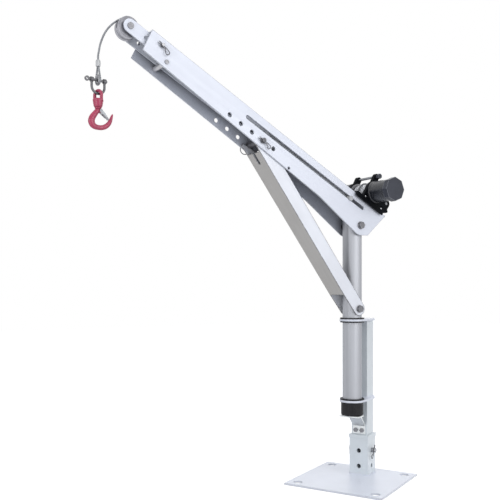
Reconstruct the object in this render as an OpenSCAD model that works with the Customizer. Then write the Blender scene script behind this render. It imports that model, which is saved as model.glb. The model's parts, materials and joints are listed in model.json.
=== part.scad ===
// Portable folding crane: a bolted base plate with a receiver, a removable post that
// carries a swivelling mast, a luffing boom with a telescoping jib, a pinned brace,
// an electric rope winch and a swivel hook.
// The mast axis is the Z axis, the base plate stands on Z = 0 and the boom reaches along +X.

/* [Base] */
// Side of the square base plate
base_side = 300; // [285:5:400]
// Thickness of the base plate
base_t = 5; // [4:0.5:12]
// Spacing of the four floor bolt holes
base_hole_spacing = 240; // [200:5:245]
// Diameter of the floor bolt holes
base_hole_d = 26; // [10:1:30]
// Turn of the base about the mast axis
base_turn = 116.37; // [0:1:360]
// Distance from the mast axis to the post axis
post_offset = 80.5; // [76:0.5:110]
// Outside width of the square post
post_side = 50; // [40:1:56]
// Wall of the square post
post_wall = 3; // [2:0.5:6]
// Wall of the receiver tube round the post
receiver_wall = 4.5; // [3:0.5:8]
// Height of the receiver's top over the floor
receiver_top = 127; // [115:1:134]
// Height of the upper cross hole of the receiver
receiver_hole_high = 78; // [60:1:90]
// Height of the lower cross hole of the receiver
receiver_hole_low = 31; // [20:1:45]
// Diameter of the receiver's cross holes
receiver_hole_d = 14; // [10:0.5:18]

/* [Mast] */
// Outside diameter of the mast tube
mast_d = 57; // [48:0.5:58]
// Wall of the mast tube
mast_wall = 4; // [2.5:0.5:8]
// Height of the mast's top end
mast_top = 785; // [778:1:800]
// Middle height of the upper ring plate
upper_ring_z = 479; // [440:1:482]
// Middle height of the lower ring plate
lower_ring_z = 238.6; // [232:1:300]
// Thickness of the ring plates
ring_t = 6; // [4:0.5:10]
// Radius of the ring plates round the mast
ring_r = 37.5; // [36:0.5:46]
// Depth of the foot cup under the lower ring plate
cup_h = 41; // [30:1:45]
// Outside diameter of the foot cup
cup_d = 66; // [66:0.5:72]

/* [Boom] */
// Height of the boom's pivot bolt
boom_pivot_z = 759.5; // [740:0.5:765]
// Outside width of the boom channel
boom_w = 76; // [72:0.5:84]
// Wall of the boom channel
boom_wall = 4; // [3:0.5:5]
// Top face of the boom over its pivot
boom_top = 75; // [74:0.5:84]
// Front end of the boom, from the pivot
boom_front = 796; // [780:1:830]
// Rear end of the boom, behind the pivot
boom_rear = 70; // [70:1:90]
// Radius of the boom's foot round the pivot bolt
boom_foot_r = 29; // [24:0.5:32]
// Lower corner of the boom's front end over the pivot
boom_front_low = 15.5; // [8:0.5:18]
// First brace hole, from the pivot
brace_hole_first = 365; // [355:1:375]
// Pitch of the five brace holes
brace_hole_pitch = 39; // [30:1:40]
// Diameter of the brace holes
brace_hole_d = 12.5; // [11:0.5:14]
// Height of the brace holes over the boom's pivot
brace_hole_up = 21.3; // [20:0.1:23]
// Brace hole in use, counted from the mast
brace_hole_used = 1; // [0:1:4]
// Diameter of the pivot bolts
pivot_bolt_d = 12; // [8:0.5:14]
// Height of the guide slot over the boom's pivot
slot_up = 48.5; // [48:0.1:50]
// Width of the guide slot
slot_w = 10.5; // [9:0.5:12]
// Rear end of the guide slot, from the pivot
slot_rear = 13; // [5:1:40]
// Front end of the guide slot, from the pivot
slot_front = 478; // [470:1:520]
// Distance of the jib's lock pin behind the boom's front end
lock_in = 36; // [30:1:44]
// Height of the jib's lock pin over the boom's pivot
lock_up = 56.5; // [55:0.5:58]
// Distance of the support roller behind the boom's front end
roller_in = 65; // [60:1:80]
// Diameter of the support roller
roller_d = 13.6; // [12:0.2:18]

/* [Jib] */
// Outside width of the jib channel
jib_w = 48; // [44:0.5:50]
// Wall of the jib channel
jib_wall = 3; // [2:0.5:4]
// Height of the jib channel
jib_h = 35; // [34:0.5:35]
// Rear end of the jib, from the boom's pivot
jib_rear = 55; // [50:1:60]
// Place of the jib's guide bolt, from the boom's pivot
guide_a = 71.5; // [68:0.5:76]
// Travel of the jib out of the boom
jib_travel = 390; // [200:5:394]
// Distance of the sheave's axle in front of the boom's front end
sheave_out = 50; // [46:0.5:60]
// Radius of the sheave's rim
sheave_r = 27; // [26.5:0.5:30]
// Width of the sheave
sheave_w = 30; // [14:1:38]

/* [Brace] */
// Height of the brace's lower bolt
brace_pivot_z = 513.2; // [512:0.2:540]
// Length of the brace between its lower bolt and its pin
brace_len = 573; // [568:0.5:578]
// Gap between the brace and the boom's side plates
brace_side_gap = 1; // [0.5:0.25:2]
// Wall of the brace channel
brace_wall = 3; // [2:0.5:3]
// Front face of the brace over its bolt line
brace_front = 22; // [21:0.5:26]
// Rear edge of the brace behind its bolt line
brace_back = 20; // [18:0.5:24]
// Start of the brace's web, from its lower bolt
brace_web_start = 68; // [60:1:90]
// Distance from the end of the brace's web to the brace pin
brace_web_short = 20; // [17:1:28]
// Turn of the brace for each degree of boom lift
brace_ratio = 0.8; // [0.78:0.01:0.85]
// Lift of the boom over the shown setting
luff_up = 16; // [5:1:16]
// Drop of the boom under the shown setting
luff_down = 31; // [5:1:31]

/* [Winch] */
// Drum axis, from the boom's pivot
drum_a = 1; // [0:0.5:8]
// Drum axis over the boom's pivot
drum_up = 114; // [114:0.5:122]
// Radius of the drum's flanges
drum_flange_r = 33.5; // [32.8:0.1:34]
// Width of the drum between its flanges
drum_w = 60; // [50:1:62]
// Radius of the motor's can
motor_r = 32; // [26:0.5:34]
// Length of the motor's can
motor_len = 64; // [50:1:90]
// Radius of the gearbox
gearbox_r = 37; // [30:0.5:38]
// Length of the gearbox
gearbox_len = 52; // [35:1:70]

/* [Rope and hook] */
// Diameter of the wire rope
rope_d = 5; // [4:0.1:5]
// Distance from the sheave's axle out to the hook's axis
hook_out = 73; // [71:0.5:75]
// Distance from the sheave's axle down to the shackle pin
shackle_drop = 138; // [135:0.5:141]
// Diameter of the shackle's bow rod
shackle_d = 6; // [5:0.2:6.2]

/* [Fits] */
// Running clearance of pins, on the radius
run_fit = 0.1; // [0.05:0.01:0.1]
// Gap between pieces that move past each other
gap = 0.3; // [0.25:0.05:0.4]

/* [Hidden] */
$fn = 48;

// Boom and brace angles follow from the triangle of their two bolts and the pin.
pin_a = brace_hole_first + brace_hole_used * brace_hole_pitch;
pin_reach = norm([pin_a, brace_hole_up]);
pivot_drop = boom_pivot_z - brace_pivot_z;
triangle_cos = (pivot_drop * pivot_drop + pin_reach * pin_reach - brace_len * brace_len)
    / (2 * pivot_drop * pin_reach);
boom_angle = acos(triangle_cos) - 90 - atan2(brace_hole_up, pin_a);
pin_world = lifted(pin_a, brace_hole_up, boom_angle);
brace_angle = atan2(pin_world[1] - brace_pivot_z, pin_world[0]);

// Base and post
receiver_side = post_side + 1 + 2 * receiver_wall;
collar_h = 11;
collar_t = 1.5;
upper_ring_low = upper_ring_z - ring_t / 2;
lower_ring_low = lower_ring_z - ring_t / 2;
bush_t = 4;
bush_bore_r = mast_d / 2 + 0.05;
bush_r = mast_d / 2 + 4;
bush_flange_r = ring_r - 1.5;
cup_low = lower_ring_low - cup_h;
cup_floor = 5;
mast_low = cup_low + cup_floor + gap;
pad_t = 4;
pad_w = 62;
pad_reach = 24;
strap_w = 40;
strap_start = 15;
strap_slant = 10;
strap_low = receiver_top + 3;
strap_bend_z = receiver_top + 27;
bracket_bolt_z = receiver_top + 14;
bracket_bolt_x = 10;
bracket_bolt_r = 4;
pad_bolt_x = 8.5;
pad_bolt_r = 3;

// Boom channel
boom_in = boom_w / 2 - boom_wall;
pivot_r = pivot_bolt_d / 2;
lock_a = boom_front - lock_in;
roller_a = boom_front - roller_in;
top_lip = 3;
rivet_a = 297;
rivet_up = 4;
rivet_hole_r = 4;
haunch_a = 167;
haunch_low = -7;
rear_low_a = -38;
rear_low = -12;
pin_r = brace_hole_d / 2 - run_fit;
pin_end = boom_w / 2 + 9;
lock_r = 4;
roller_bolt_r = 4;
head_h = 5;
washer_t = 1.5;
boom_bolt_reach = boom_w / 2 + gap + washer_t;
brace_w = boom_w - 2 * (boom_wall + brace_side_gap);
brace_bolt_reach = brace_w / 2 + gap + washer_t;
brace_foot_r = 20;
brace_web_end = brace_len - brace_web_short;
clip_wire_r = 1.1;
clip_hole_r = clip_wire_r + run_fit;
lock_clip_turn = 170;
brace_clip_turn = 178;
receiver_clip_turn = 60;
receiver_pin_r = receiver_hole_d / 2 - run_fit;

// Jib channel
jib_top = boom_top - boom_wall - 0.5;
jib_low = jib_top - jib_h;
roller_up = jib_low - gap - roller_d / 2;
sheave_a = boom_front + sheave_out;
sheave_up = jib_low + jib_h / 2;
nose_r = jib_h / 2;
jib_mouth = sheave_a - sheave_r - 3;
jib_hole_a = boom_front + 4;
jib_hole_r = 5;
axle_r = 6;
guide_r = 4;
guide_roller_r = slot_w / 2 - gap;
guide_shoulder_r = 8;
rope_r = rope_d / 2;
groove_r = sheave_r - 3.7;
rope_turn_r = groove_r + rope_r + 0.2;

// Winch
foot_t = 4.3;
foot_front = 64;
foot_rear = -52;
foot_lip = 9;
foot_lip_t = 3;
support_t = 11;
support_r = 34;
support_front = 38;
support_rear = -57;
support_in = drum_w / 2 + 4.3;
gearbox_neck_r = drum_up - boom_top - foot_t - gap;
flange_t = 3.5;
shaft_r = 8;
winding_r = drum_flange_r - 9;
winding_pitch = rope_d + 0.6;
winding_turns = floor((drum_w - rope_d - 2) / winding_pitch);
run_r = winding_r + rope_d + 0.5;
tie_bar_r = 4;
tie_top = [18, 43];
tie_back = [-52, -8];
tie_boss_r = 9;
back_boss_r = 13;
run_wrap = 280;
cap_len = 18;
cap_turn = 16.6;
rotor_shaft_r = 4;
foot_bolt_rows = [26, -42];
foot_bolt_y = 21;
screw_rows = [27.5, -40];
screw_r = 2.5;
screw_room = 0.8;
screw_y = boom_w / 2 + screw_r + screw_room;
lip_room = 0.5;
foot_half = screw_y + screw_r + lip_room + foot_lip_t;
screw_head_r = 5;
foot_bolt_r = 3;

// Rope route: the drop's points are chosen by hand from the sheave's axle to the ferrule
leave_turn = 52;
sheave_world = lifted(sheave_a, sheave_up, boom_angle);
hook_x = sheave_world[0] + hook_out;
shackle_z = sheave_world[1] - shackle_drop;
ferrule_low = shackle_z + 33.5;
drop_start = [
    sheave_world[0] + rope_turn_r * cos(leave_turn), 0,
    sheave_world[1] + rope_turn_r * sin(leave_turn)
];
drop_steps = [[28, 12], [39, 2], [49, -10], [57, -23], [63, -37], [68, -52], [71, -67]];
drop_route = concat(
    [for (p = drop_steps) [sheave_world[0] + p[0], 0, sheave_world[1] + p[1]]],
    [[hook_x, 0, sheave_world[1] - 79], [hook_x, 0, ferrule_low + 15]]
);

// Hook set
thimble_r = 2;
eye_loop_half = 11;
pin_yaw = 8;
eye_yaw = 118;
shackle_pin_r = 3.2;
thimble_low = shackle_z - shackle_pin_r - gap - thimble_r;
bow_half = 17;
bow_z = shackle_z - 32;
lug_r = 6;
eye_rod_r = 4;
eye_top_z = bow_z + shackle_d / 2 + 0.4;
eye_half = 10.5;
swivel_z = bow_z - 32.5;
hook_y_flat = 0.85;
latch_x = hook_x - 6;
latch_z = swivel_z - 8;
latch_lean = 46;
latch_len = 27.5;
latch_in = 5.7;

// Place in the vertical plane of a point of the boom at a boom angle
function lifted(a, up, angle) =
    [a * cos(angle) - up * sin(angle), boom_pivot_z + a * sin(angle) + up * cos(angle)];

// Place of the brace pin as the brace sees it, at a lift of the boom from the shown setting
function pin_from_brace(lift) =
    let (
        p = lifted(pin_a, brace_hole_up, boom_angle + lift),
        turn = brace_angle + brace_ratio * lift,
        x = p[0],
        z = p[1] - brace_pivot_z
    )
    [x * cos(turn) + z * sin(turn), z * cos(turn) - x * sin(turn)];

// Vectors and swept tubes
function unit(v) = v / norm(v);

function heading(path, i) =
    unit(path[min(i + 1, len(path) - 1)] - path[max(i - 1, 0)]);

function ring(centre, along, side, r, flat, sides) =
    let (
        s = unit(side - (side * along) * along),
        b = cross(along, s)
    )
    [for (k = [0 : sides - 1])
        let (turn = 360 * (k + 0.5) / sides)
        centre + r * (flat * cos(turn) * s + sin(turn) * b)];

function side_faces(rings, sides) =
    [for (i = [0 : rings - 2], k = [0 : sides - 1], half = [0, 1])
        let (
            a = i * sides + k,
            b = i * sides + (k + 1) % sides
        )
        half == 0 ? [a, a + sides, b + sides] : [a, b + sides, b]];

function end_faces(rings, sides) =
    let (last = (rings - 1) * sides)
    [for (k = [1 : sides - 2], end = [0, 1])
        end == 0 ? [0, k, k + 1] : [last, last + k + 1, last + k]];

// Tube along a path, with a radius at each point and a direction that it is flattened in
module sweep(path, radii, side, sides = 8, flat = 1) {
    points = [for (i = [0 : len(path) - 1])
        each ring(path[i], heading(path, i), side, radii[i], flat, sides)];
    polyhedron(
        points = points,
        faces = concat(end_faces(len(path), sides), side_faces(len(path), sides)),
        convexity = 6
    );
}

module wire(path, r, side, sides = 8) {
    sweep(path, [for (p = path) r], side, sides);
}

// Frames of the three tilted or turned groups
module at_boom() {
    translate([0, 0, boom_pivot_z]) rotate([0, -boom_angle, 0]) children();
}

module at_brace() {
    translate([0, 0, brace_pivot_z]) rotate([0, -brace_angle, 0]) children();
}

module at_base() {
    rotate([0, 0, base_turn]) children();
}

// A flat outline drawn as (along, up) and given a thickness along Y
module plate_y(y, t) {
    translate([0, y + t, 0]) rotate([90, 0, 0]) linear_extrude(t) children();
}

module both_plates(inside, t) {
    plate_y(inside, t) children();
    plate_y(-inside - t, t) children();
}

// Round bar or bore along Y, from one y to another
module bar_y(a, up, r, from, to) {
    translate([a, to, up]) rotate([90, 0, 0]) cylinder(r = r, h = to - from);
}

module hex_y(a, up, r, from, to) {
    translate([a, to, up]) rotate([90, 0, 0]) cylinder(r = r, h = to - from, $fn = 6);
}

module ring_y(a, up, r, bore, from, to) {
    difference() {
        bar_y(a, up, r, from, to);
        bar_y(a, up, bore, from - 1, to + 1);
    }
}

module square_tube(side, wall, from, to) {
    translate([0, 0, (from + to) / 2]) difference() {
        cube([side, side, to - from], center = true);
        cube([side - 2 * wall, side - 2 * wall, to - from + 2], center = true);
    }
}

// Base, receiver and post
module base_plate() {
    color("whitesmoke") at_base() difference() {
        translate([-base_side / 2, -base_side / 2, 0]) cube([base_side, base_side, base_t]);
        for (x = [-1, 1], y = [-1, 1])
            translate([x, y, 0] * base_hole_spacing / 2 + [0, 0, -1])
                cylinder(d = base_hole_d, h = base_t + 2);
    }
}

module cross_holes(d) {
    for (z = [receiver_hole_low, receiver_hole_high]) {
        translate([0, 0, z]) rotate([90, 0, 0])
            cylinder(d = d, h = receiver_side * 2, center = true);
        translate([0, 0, z]) rotate([0, 90, 0])
            cylinder(d = d, h = receiver_side * 2, center = true);
    }
}

module receiver_tube() {
    color("lightsteelblue") at_base() translate([0, post_offset, 0]) difference() {
        union() {
            square_tube(receiver_side, receiver_wall, base_t, receiver_top);
            square_tube(receiver_side + 2 * collar_t, receiver_wall + collar_t,
                receiver_top - collar_h, receiver_top);
        }
        cross_holes(receiver_hole_d);
    }
}

module post_tube() {
    color("lightsteelblue") at_base() translate([0, post_offset, 0]) difference() {
        square_tube(post_side, post_wall, base_t, upper_ring_low);
        cross_holes(receiver_hole_d);
        for (x = [-1, 1])
            translate([x * bracket_bolt_x, 0, bracket_bolt_z]) rotate([90, 0, 0])
                cylinder(r = bracket_bolt_r + run_fit, h = post_side);
    }
}

module ring_outline() {
    circle(r = ring_r);
    translate([-ring_r, 0]) square([2 * ring_r, post_offset]);
    translate([0, post_offset]) circle(r = ring_r);
}

module ring_plate(low, post_hole) {
    at_base() translate([0, 0, low]) linear_extrude(ring_t) difference() {
        ring_outline();
        circle(r = bush_r);
        if (post_hole)
            translate([0, post_offset]) square(post_side + 2 * run_fit, center = true);
    }
}

module upper_ring_plate() {
    color("whitesmoke") ring_plate(upper_ring_low, false);
}

module lower_ring_plate() {
    color("whitesmoke") ring_plate(lower_ring_low, true);
}

// Flanged bush half, its flange on the plate and its sleeve in the plate's hole
module bush_half(sleeve) {
    difference() {
        union() {
            cylinder(r = bush_flange_r, h = bush_t);
            translate([0, 0, -sleeve]) cylinder(r = bush_r - run_fit, h = sleeve);
        }
        translate([0, 0, -sleeve - 1]) cylinder(r = bush_bore_r, h = sleeve + bush_t + 2);
    }
}

module mast_bushes() {
    sleeve = ring_t / 2 - run_fit;
    color("black") {
        translate([0, 0, upper_ring_low + ring_t]) bush_half(sleeve);
        translate([0, 0, upper_ring_low]) mirror([0, 0, 1]) bush_half(sleeve);
        translate([0, 0, lower_ring_low + ring_t]) bush_half(sleeve);
    }
}

module mast_foot_cup() {
    chamfer = 4;
    rib_count = 24;
    neck_r = bush_r - run_fit;
    neck_top = lower_ring_low + ring_t / 2 - run_fit;
    color("black") difference() {
        rotate_extrude() polygon([
            [0, cup_low], [cup_d / 2 - chamfer, cup_low], [cup_d / 2, cup_low + chamfer],
            [cup_d / 2, lower_ring_low], [neck_r, lower_ring_low], [neck_r, neck_top],
            [0, neck_top]
        ]);
        translate([0, 0, cup_low + cup_floor]) cylinder(r = bush_bore_r, h = cup_h);
        for (i = [0 : rib_count - 1])
            rotate([0, 0, 360 * i / rib_count])
                translate([cup_d / 2 - 0.6, -1, cup_low + chamfer + 2])
                    cube([2, 2, cup_h - chamfer - 8]);
    }
}

// Pad under the cup and the strap that bends down from it to the post's face
module foot_bracket() {
    face = post_offset - post_side / 2;
    pad_low = cup_low - pad_t;
    color("silver") at_base() difference() {
        union() {
            translate([-pad_w / 2, -pad_reach, pad_low])
                cube([pad_w, pad_reach + strap_start, pad_t]);
            translate([-strap_w / 2, 0, 0]) rotate([90, 0, 90]) linear_extrude(strap_w) polygon([
                [0, cup_low], [strap_start + 2, cup_low], [face, strap_bend_z + pad_t],
                [face, strap_low], [face - pad_t, strap_low], [face - pad_t, strap_bend_z],
                [face - strap_slant, strap_bend_z + 6], [strap_start, pad_low], [0, pad_low]
            ]);
        }
        for (x = [-1, 1]) {
            translate([x * bracket_bolt_x, face + 1, bracket_bolt_z]) rotate([90, 0, 0])
                cylinder(r = bracket_bolt_r + run_fit, h = pad_t + 2);
            translate([x * pad_bolt_x, 0, pad_low - 1])
                cylinder(r = pad_bolt_r + run_fit, h = pad_t + 2);
        }
    }
}

module bracket_bolts() {
    face = post_offset - post_side / 2 - pad_t;
    color("dimgray") at_base() {
        for (x = [-1, 1]) translate([x * bracket_bolt_x, face, bracket_bolt_z]) {
            rotate([90, 0, 0]) cylinder(r = 7, h = head_h, $fn = 6);
            rotate([-90, 0, 0]) cylinder(r = bracket_bolt_r, h = 18);
        }
        for (x = [-1, 1]) translate([x * pad_bolt_x, 0, cup_low - pad_t]) {
            translate([0, 0, -4]) cylinder(r = 5.5, h = 4, $fn = 6);
            cylinder(r = pad_bolt_r, h = pad_t - run_fit);
        }
    }
}

// Hitch pin through the receiver, with a bent handle at its left end
module receiver_pin() {
    half = receiver_side / 2 + collar_t;
    handle_r = 4;
    color("silver") at_base() translate([0, post_offset, receiver_hole_high]) difference() {
        union() {
            rotate([0, 90, 0]) translate([0, 0, -half - 10])
                cylinder(r = receiver_pin_r, h = 2 * half + 22);
            translate([-half - 8, 0, -20]) cylinder(r = handle_r, h = 26);
        }
        at_receiver_clip() rotate([0, 90, 0]) cylinder(r = clip_hole_r, h = 30, center = true);
    }
}

// Place of the clip on the receiver's pin, seen from the pin's middle
module at_receiver_clip() {
    translate([receiver_side / 2 + collar_t + 7, 0, 0])
        rotate([0, 0, -90]) rotate([0, receiver_clip_turn, 0]) children();
}

// Spring clip: one leg goes through the pin, the other hugs it, with an eye behind
module spring_clip(pin) {
    eye_r = 5.5;
    leg = pin + 9;
    hump = pin + clip_wire_r + 0.5;
    lift = 2 * clip_wire_r + 0.8;
    wire(concat(
        [[-leg, 0, 0], [-pin, 0, 0], [pin, 0, 0], [leg, 0, 0]],
        [for (t = [-60 : 30 : 150])
            [leg + 7 + eye_r * cos(t), 0, eye_r + eye_r * sin(t)]],
        [[leg - 1, 0, lift + 1], [pin + 3, 0, lift], [0.6 * pin, 0, 0.8 * hump],
        [0, 0, hump], [-0.6 * pin, 0, 0.8 * hump], [-pin - 3, 0, lift],
        [-pin - 8, 0, lift + 2]]
    ), clip_wire_r, [0, 1, 0]);
}

module receiver_clip() {
    color("gray") at_base() translate([0, post_offset, receiver_hole_high])
        at_receiver_clip() spring_clip(receiver_pin_r);
}

// Mast and its two pivot bolts
module mast_tube() {
    color("silver") difference() {
        translate([0, 0, mast_low]) cylinder(d = mast_d, h = mast_top - mast_low);
        translate([0, 0, mast_low - 1])
            cylinder(r = mast_d / 2 - mast_wall, h = mast_top - mast_low + 2);
        for (z = [boom_pivot_z, brace_pivot_z])
            bar_y(0, z, pivot_r + run_fit, -mast_d, mast_d);
    }
}

module pivot_bolt(z, reach) {
    bar_y(0, z, pivot_r, -reach - 14, reach);
    hex_y(0, z, pivot_r * 1.75, reach, reach + 7);
    bar_y(0, z, pivot_r * 1.9, reach - washer_t, reach);
}

module pivot_nut(z, reach) {
    difference() {
        union() {
            hex_y(0, z, pivot_r * 1.75, -reach - 10.5, -reach);
            bar_y(0, z, pivot_r * 1.9, -reach, -reach + washer_t);
        }
        bar_y(0, z, pivot_r + run_fit / 2, -reach - 12, -reach + 3);
    }
}

module boom_pivot_bolt() {
    color("silver") pivot_bolt(boom_pivot_z, boom_bolt_reach);
}

module brace_pivot_bolt() {
    color("silver") pivot_bolt(brace_pivot_z, brace_bolt_reach);
}

module pivot_nuts() {
    color("silver") {
        pivot_nut(boom_pivot_z, boom_bolt_reach);
        pivot_nut(brace_pivot_z, brace_bolt_reach);
    }
}

module mast_spacers(z, r, inside) {
    for (side = [-1, 1]) {
        near = mast_d / 2 + run_fit;
        far = inside - gap;
        from = side > 0 ? near : -far;
        ring_y(0, z, r, pivot_r + run_fit, from, from + far - near);
    }
}

module boom_pivot_spacers() {
    color("black") mast_spacers(boom_pivot_z, 14, boom_in);
}

module brace_pivot_washers() {
    color("black") mast_spacers(brace_pivot_z, 13, brace_w / 2 - brace_wall);
}

// Boom channel
module boom_side() {
    difference() {
        union() {
            polygon([
                [-boom_rear, boom_top], [boom_front + top_lip, boom_top],
                [boom_front, boom_front_low], [haunch_a, haunch_low],
                [4, 0.3 - boom_foot_r], [-15, 4 - boom_foot_r], [rear_low_a, rear_low]
            ]);
            circle(r = boom_foot_r);
        }
        circle(r = pivot_r + run_fit);
        for (i = [0 : 4])
            translate([brace_hole_first + i * brace_hole_pitch, brace_hole_up])
                circle(d = brace_hole_d);
        translate([slot_rear + slot_w / 2, slot_up]) circle(d = slot_w);
        translate([slot_front - slot_w / 2, slot_up]) circle(d = slot_w);
        translate([slot_rear + slot_w / 2, slot_up - slot_w / 2])
            square([slot_front - slot_rear - slot_w, slot_w]);
        translate([lock_a, lock_up]) circle(r = lock_r + run_fit);
        translate([roller_a, roller_up]) circle(r = roller_bolt_r + run_fit);
        translate([rivet_a, rivet_up]) circle(r = rivet_hole_r);
    }
}

module boom_channel() {
    color("ghostwhite") at_boom() difference() {
        union() {
            both_plates(boom_in, boom_wall) boom_side();
            translate([-boom_rear, -boom_w / 2, boom_top - boom_wall])
                cube([boom_front + top_lip + boom_rear, boom_w, boom_wall]);
        }
        foot_bolt_holes(boom_top - boom_wall, boom_wall);
    }
}

module roller_bolt() {
    far = boom_w / 2;
    color("silver") at_boom() {
        bar_y(roller_a, roller_up, roller_bolt_r, -far - 7, far);
        bar_y(roller_a, roller_up, 5.5, far, far + 2.5);
        hex_y(roller_a, roller_up, 7.5, -far - 6, -far);
    }
}

module support_roller() {
    color("gainsboro") at_boom()
        ring_y(roller_a, roller_up, roller_d / 2, roller_bolt_r + run_fit / 2,
            -boom_in + gap, boom_in - gap);
}

// Pin across the boom with a head on the far side and a clip hole on the near side
module hitch_pin(a, up, r, turn) {
    difference() {
        union() {
            bar_y(a, up, r, -boom_w / 2, pin_end);
            bar_y(a, up, r * 1.6, -boom_w / 2 - head_h, -boom_w / 2);
        }
        clip_place(a, up, turn) rotate([0, 90, 0])
            cylinder(r = clip_hole_r, h = 30, center = true);
    }
}

module clip_place(a, up, turn) {
    translate([a, pin_end - 3.5, up]) rotate([0, turn, 0]) children();
}

module jib_lock_pin() {
    color("silver") at_boom() hitch_pin(lock_a, lock_up, lock_r, lock_clip_turn);
}

module brace_pin() {
    far = boom_w / 2 + head_h;
    color("silver") at_boom() difference() {
        union() {
            hitch_pin(pin_a, brace_hole_up, pin_r, brace_clip_turn);
            bar_y(pin_a, brace_hole_up, 4.5, -far - 6, -far);
        }
        translate([pin_a, -far - 3, brace_hole_up]) rotate([0, 90, 0])
            cylinder(r = 2.4, h = 40, center = true);
    }
}

module pin_clips() {
    color("gray") at_boom() {
        clip_place(lock_a, lock_up, lock_clip_turn) spring_clip(lock_r);
        clip_place(pin_a, brace_hole_up, brace_clip_turn) spring_clip(pin_r);
    }
}

// Pull ring through the far end of the brace pin
module brace_pin_ring() {
    ring_half = 13;
    color("gray") at_boom()
        translate([pin_a, -boom_w / 2 - head_h - 3, brace_hole_up - ring_half])
            rotate([90, 0, 0]) rotate_extrude() translate([ring_half, 0])
                circle(r = 1.2, $fn = 24);
}

// Sleeve on the brace pin, between the brace's side plates
module pin_sleeve() {
    half = brace_w / 2 - brace_wall - 1;
    color("dimgray") at_boom()
        ring_y(pin_a, brace_hole_up, pin_r + 3, pin_r + run_fit / 2, -half, half);
}

// Brace: its side plates end in a cam edge that follows the pin as the boom is lifted
module brace_side() {
    steps = 12;
    clear = pin_r + gap;
    past = brace_len + 100;
    above = 200;
    trail = [for (i = [0 : steps])
        pin_from_brace(luff_up + 8 - (luff_up + luff_down + 16) * i / steps)];
    edge = [for (i = [0 : steps])
        let (
            v = trail[min(i + 1, steps)] - trail[max(i - 1, 0)],
            n = [v[1], -v[0]] / norm(v)
        )
        trail[i] - clear * n];
    difference() {
        union() {
            polygon([
                [0, brace_foot_r], [brace_web_start, brace_back],
                [brace_len + 12, brace_back], [brace_len + 12, -brace_front],
                [brace_web_start, -brace_front], [0, -brace_foot_r]
            ]);
            circle(r = brace_foot_r);
        }
        circle(r = pivot_r + run_fit);
        polygon(concat(edge, [[trail[steps][0], above], [past, above], [past, edge[0][1]]]));
    }
}

module brace_channel() {
    slot_half = 5;
    slot_len = 35;
    inside = brace_w / 2 - brace_wall;
    color("lightgray") at_brace() difference() {
        union() {
            both_plates(inside, brace_wall) brace_side();
            translate([brace_web_start, -brace_w / 2, -brace_front])
                cube([brace_web_end - brace_web_start, brace_w, brace_wall]);
        }
        translate([brace_web_end - slot_len + slot_half, -slot_half, -brace_front - 1])
            cube([slot_len, 2 * slot_half, brace_wall + 2]);
        translate([brace_web_end - slot_len + slot_half, 0, -brace_front - 1])
            cylinder(r = slot_half, h = brace_wall + 2);
    }
}

// Jib channel, its lock slot and its sheave
module jib_side() {
    difference() {
        union() {
            translate([jib_rear, jib_low]) square([sheave_a - jib_rear, jib_h]);
            translate([sheave_a, sheave_up]) circle(r = nose_r);
        }
        translate([guide_a, slot_up]) circle(r = guide_r + run_fit);
        translate([sheave_a, sheave_up]) circle(r = axle_r + run_fit);
        translate([jib_hole_a, sheave_up]) circle(r = jib_hole_r);
        translate([lock_a - jib_travel, lock_up - lock_r - gap])
            square([jib_travel, 2 * (lock_r + gap)]);
        for (a = [lock_a - jib_travel, lock_a])
            translate([a, lock_up]) circle(r = lock_r + gap);
    }
}

module jib_channel() {
    color("ghostwhite") at_boom() {
        both_plates(jib_w / 2 - jib_wall, jib_wall) jib_side();
        translate([jib_rear, -jib_w / 2, jib_top - jib_wall])
            cube([jib_mouth - jib_rear, jib_w, jib_wall]);
    }
}

module jib_guide_bolt() {
    far = boom_w / 2 + 1;
    color("silver") at_boom() {
        bar_y(guide_a, slot_up, guide_r, -far - 6, far);
        bar_y(guide_a, slot_up, 7, far, far + 3.5);
        hex_y(guide_a, slot_up, 7.5, -far - 5, -far);
    }
}

module jib_guide_rollers() {
    color("white") at_boom() for (side = [-1, 1]) {
        shoulder = side > 0 ? jib_w / 2 : -boom_in + gap;
        sleeve = side > 0 ? boom_in - gap : -boom_w / 2 - 0.8;
        ring_y(guide_a, slot_up, guide_shoulder_r, guide_r + run_fit / 2,
            shoulder, shoulder + boom_in - gap - jib_w / 2);
        ring_y(guide_a, slot_up, guide_roller_r, guide_r + run_fit / 2,
            sleeve, sleeve + boom_wall + gap + 0.8);
    }
}

module sheave() {
    half = sheave_w / 2;
    color("gainsboro") at_boom() translate([sheave_a, 0, sheave_up]) rotate([90, 0, 0])
        rotate_extrude() polygon([
            [axle_r + run_fit / 2, -half], [sheave_r - 1.5, -half], [sheave_r, -half + 1.5],
            [sheave_r, -rope_r - 3], [groove_r, -rope_r], [groove_r, rope_r],
            [sheave_r, rope_r + 3], [sheave_r, half - 1.5], [sheave_r - 1.5, half],
            [axle_r + run_fit / 2, half]
        ]);
}

module sheave_spacers() {
    reach = jib_w / 2 - jib_wall;
    color("gray") at_boom() for (side = [-1, 1]) {
        from = side > 0 ? sheave_w / 2 + gap : -reach;
        ring_y(sheave_a, sheave_up, 10, axle_r + run_fit / 2,
            from, from + reach - sheave_w / 2 - gap);
    }
}

module sheave_axle() {
    far = jib_w / 2;
    color("dimgray") at_boom() {
        bar_y(sheave_a, sheave_up, axle_r, -far - 3, far);
        bar_y(sheave_a, sheave_up, 8, far, far + 3);
        ring_y(sheave_a, sheave_up, 9, axle_r + run_fit / 2, -far - 2.5, -far);
    }
}

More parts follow.
